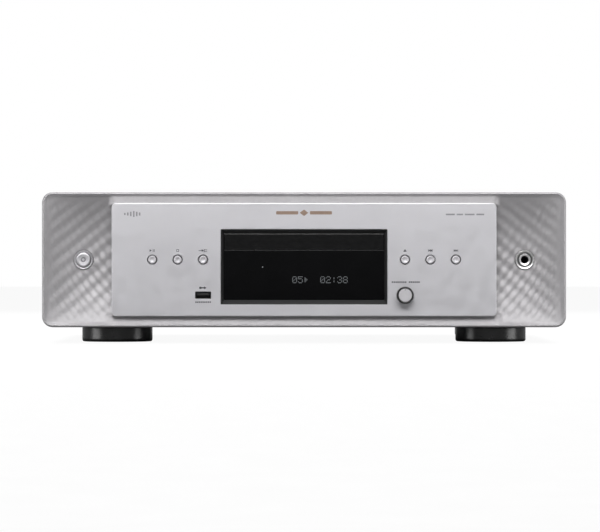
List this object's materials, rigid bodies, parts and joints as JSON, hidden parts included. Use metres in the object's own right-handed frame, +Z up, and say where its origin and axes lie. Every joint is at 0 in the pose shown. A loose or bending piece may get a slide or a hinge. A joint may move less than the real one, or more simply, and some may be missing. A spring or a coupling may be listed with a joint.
{
  "type": "cd player",
  "caption": "Full-width silver disc player: floating centre panel on a textured dished surround, front drawer over a black display window, round keys, level knob, round feet.",
  "frame": {"origin": "middle of the overall width and depth, on the surface the feet stand on", "axes": "+X to the right seen from the front, +Y to the rear (the front looks along -Y), +Z up"},
  "size_m": [0.442, 0.424, 0.127],
  "materials": {
    "silver_paint": "fine satin metallic silver paint",
    "brushed_silver": "satin silver with eased bright edges",
    "black_plastic": "matte black moulding",
    "gloss_black": "gloss black",
    "smoked_acrylic": "smoked, mirror smooth",
    "plated_steel": "zinc plated, dull",
    "black_steel": "fine textured black paint",
    "grey_plastic": "matte grey moulding",
    "polished_metal": "polished plating",
    "gold_plate": "gold plated",
    "circuit_board": "green solder mask",
    "winding": "varnished copper under clear tape",
    "rubber": "matte black rubber",
    "lens_unit": "cast body with a blue coated lens",
    "nylon": "off-white nylon"
  },
  "bodies": {
    "case": {"top_cover": "silver_paint", "front_surround": "silver_paint", "centre_panel": "brushed_silver", "power_collar": "brushed_silver", "panel_carrier": "black_plastic", "foot_front_left": "black_plastic", "foot_rear_left": "black_plastic", "foot_front_right": "black_plastic", "foot_rear_right": "black_plastic", "drive_frame": "black_plastic", "optical_socket": "black_plastic", "mains_inlet": "black_plastic", "window_frame": "gloss_black", "display_window": "smoked_acrylic", "base_pan": "plated_steel", "usb_socket": "plated_steel", "loading_motor": "plated_steel", "clamp_bridge": "plated_steel", "transformer_clamp": "plated_steel", "rear_panel": "black_steel", "level_control": "grey_plastic", "power_switch": "grey_plastic", "headphone_ring": "polished_metal", "headphone_jack": "polished_metal", "output_jack_right": "gold_plate", "output_jack_left": "gold_plate", "coaxial_jack": "gold_plate", "remote_jack": "gold_plate", "display_module": "circuit_board", "button_board": "circuit_board", "main_board": "circuit_board", "power_board": "circuit_board", "toroid_transformer": "winding", "drive_belt": "rubber", "mains_lead": "rubber", "drive_ribbon": "nylon"},
    "drawer": {"disc_tray": "black_plastic", "tray_door": "gloss_black"},
    "loading_gear": {"drive_gear": "nylon"},
    "loading_pulley": {"motor_pulley": "nylon"},
    "clamp": {"clamp_puck": "black_plastic"},
    "lift": {"lift_frame": "grey_plastic", "mech_deck": "plated_steel", "spindle_motor": "plated_steel", "guide_rod_left": "polished_metal", "guide_rod_right": "polished_metal", "sled_motor": "plated_steel"},
    "platter": {"turntable": "black_plastic"},
    "sled": {"laser_sled": "lens_unit"},
    "sled_drive": {"sled_gear": "nylon"},
    "power_key": {"power_button": "brushed_silver"},
    "level": {"level_knob": "brushed_silver", "level_shaft": "plated_steel"},
    "play_key": {"play_button": "brushed_silver"},
    "stop_key": {"stop_button": "brushed_silver"},
    "input_key": {"input_button": "brushed_silver"},
    "eject_key": {"eject_button": "brushed_silver"},
    "back_key": {"back_button": "brushed_silver"},
    "skip_key": {"skip_button": "brushed_silver"}
  },
  "joints": [
    {"name": "drawer_slide", "type": "slide", "parent": "case", "child": "drawer", "axis": [0, -1, 0], "range_m": [0, 0.14]},
    {"name": "loading_gear_turn", "type": "hinge", "parent": "case", "child": "loading_gear", "pos_m": [-0.0365, -0.164, 0.065], "axis": [0, 0, 1], "range_deg": [0, 764]},
    {"name": "loading_pulley_turn", "type": "hinge", "parent": "case", "child": "loading_pulley", "pos_m": [-0.0065, -0.164, 0.065], "axis": [0, 0, 1], "range_deg": [0, 1836]},
    {"name": "lift_tilt", "type": "hinge", "parent": "case", "child": "lift", "pos_m": [0, -0.0297, 0.0702], "axis": [1, 0, 0], "range_deg": [0, 3]},
    {"name": "platter_spin", "type": "hinge", "parent": "lift", "child": "platter", "pos_m": [0, -0.1247, 0.086], "axis": [0, 0, 1], "continuous": true},
    {"name": "clamp_spin", "type": "hinge", "parent": "case", "child": "clamp", "pos_m": [0, -0.1247, 0.093], "axis": [0, 0, 1], "continuous": true},
    {"name": "sled_slide", "type": "slide", "parent": "lift", "child": "sled", "axis": [0, 1, 0], "range_m": [0, 0.034]},
    {"name": "sled_gear_turn", "type": "hinge", "parent": "lift", "child": "sled_drive", "pos_m": [0.034, -0.0917, 0.079], "axis": [0, 0, 1], "range_deg": [-325, 0]},
    {"name": "play_press", "type": "slide", "parent": "case", "child": "play_key", "axis": [0, 1, 0], "range_m": [0, 0.0007], "stiffness_N_per_m": 1500},
    {"name": "stop_press", "type": "slide", "parent": "case", "child": "stop_key", "axis": [0, 1, 0], "range_m": [0, 0.0007], "stiffness_N_per_m": 1500},
    {"name": "input_press", "type": "slide", "parent": "case", "child": "input_key", "axis": [0, 1, 0], "range_m": [0, 0.0007], "stiffness_N_per_m": 1500},
    {"name": "eject_press", "type": "slide", "parent": "case", "child": "eject_key", "axis": [0, 1, 0], "range_m": [0, 0.0007], "stiffness_N_per_m": 1500},
    {"name": "back_press", "type": "slide", "parent": "case", "child": "back_key", "axis": [0, 1, 0], "range_m": [0, 0.0007], "stiffness_N_per_m": 1500},
    {"name": "skip_press", "type": "slide", "parent": "case", "child": "skip_key", "axis": [0, 1, 0], "range_m": [0, 0.0007], "stiffness_N_per_m": 1500},
    {"name": "power_press", "type": "slide", "parent": "case", "child": "power_key", "axis": [0, 1, 0], "range_m": [0, 0.0018], "stiffness_N_per_m": 1000},
    {"name": "level_turn", "type": "hinge", "parent": "case", "child": "level", "pos_m": [0.085, -0.205, 0.0401], "axis": [0, 1, 0], "range_deg": [-150, 150]}
  ],
  "couplings": [
    {"joint": "loading_gear_turn", "follows": "drawer_slide", "rad_per_m": 95.238},
    {"joint": "loading_pulley_turn", "follows": "drawer_slide", "rad_per_m": 228.79},
    {"joint": "lift_tilt", "follows": "drawer_slide", "rad_per_m": 0.374},
    {"joint": "clamp_spin", "follows": "platter_spin", "ratio": 1},
    {"joint": "sled_gear_turn", "follows": "sled_slide", "rad_per_m": -166.67}
  ]
}
